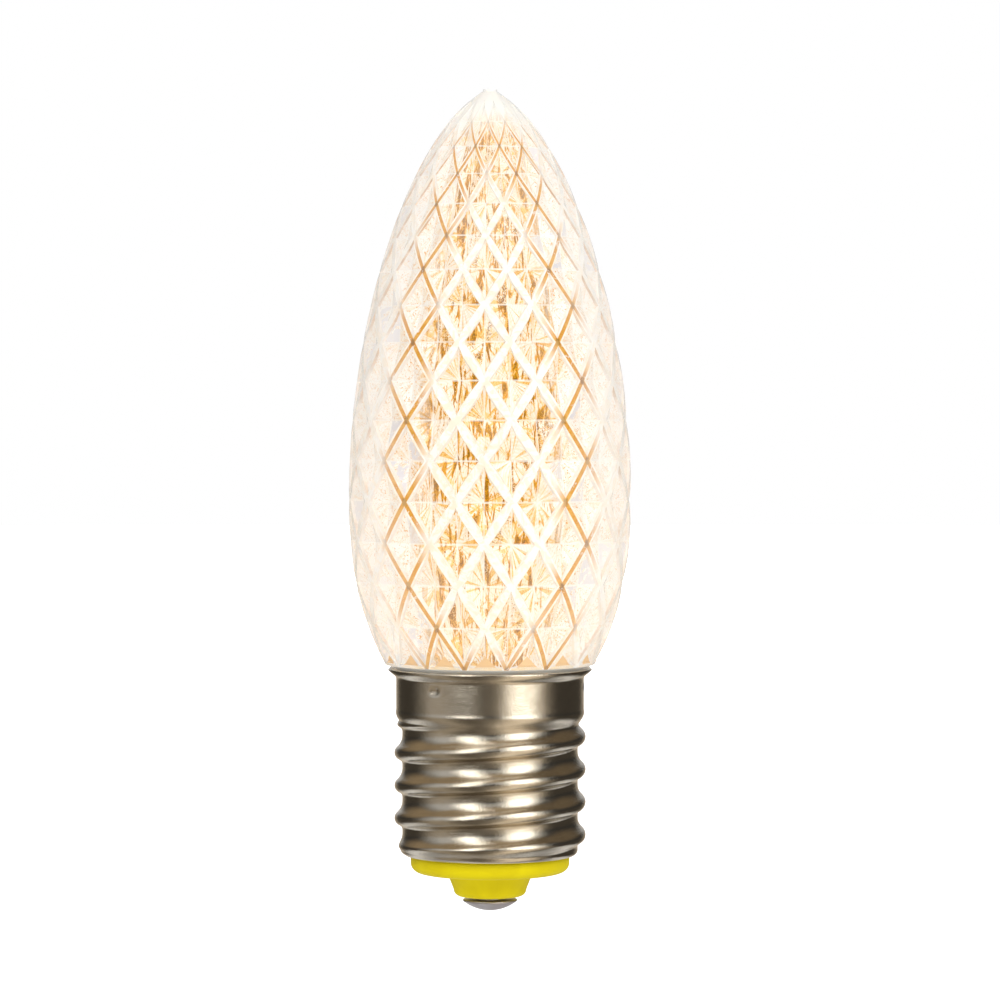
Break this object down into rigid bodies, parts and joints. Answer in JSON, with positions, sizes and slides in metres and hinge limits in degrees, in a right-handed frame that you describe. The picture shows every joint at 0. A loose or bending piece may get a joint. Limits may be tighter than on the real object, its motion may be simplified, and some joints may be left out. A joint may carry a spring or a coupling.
{
  "type": "led replacement bulb",
  "caption": "LED replacement bulb: clear faceted cone lens on a nickel-plated intermediate screw cap with a yellow insulator and a domed centre contact.",
  "frame": {"origin": "tip of the centre contact, on the axis of the bulb; the middle of the bounding box's bottom face", "axes": "+X to the right and +Y away from the viewer, seen from the front as in the picture; +Z along the bulb's axis, from the contact to the tip of the lens"},
  "size_m": [0.0242, 0.0242, 0.0706],
  "materials": {
    "clear_plastic": "clear moulded plastic, polished",
    "nickel_plate": "bright nickel plate on rolled brass sheet",
    "yellow_plastic": "moulded, satin",
    "contact_metal": "dull nickel plate",
    "white_board": "white solder mask on aluminium",
    "led_plastic": "white case with yellow phosphor window",
    "green_board": "green solder mask",
    "film_case": "moulded case",
    "chip_ceramic": "black coat with tinned ends",
    "resistor_coat": "fireproof lacquer",
    "black_plastic": "moulded package with tinned legs",
    "can_sleeve": "shrunk sleeve over an aluminium can",
    "tinned_wire": "tinned copper",
    "sleeve_plastic": "white insulating sleeve"
  },
  "bodies": {
    "root": {"lens": "clear_plastic", "screw_shell": "nickel_plate", "insulator": "yellow_plastic", "centre_contact": "contact_metal", "led_board": "white_board", "led_1": "led_plastic", "led_2": "led_plastic", "led_3": "led_plastic", "led_4": "led_plastic", "led_5": "led_plastic", "driver_board": "green_board", "film_capacitor": "film_case", "bleeder_resistor": "chip_ceramic", "load_resistor": "chip_ceramic", "surge_resistor": "resistor_coat", "bridge_rectifier": "black_plastic", "smoothing_capacitor": "can_sleeve", "shell_lead": "tinned_wire", "contact_lead": "tinned_wire", "lead_sleeve": "sleeve_plastic"}
  },
  "joints": []
}
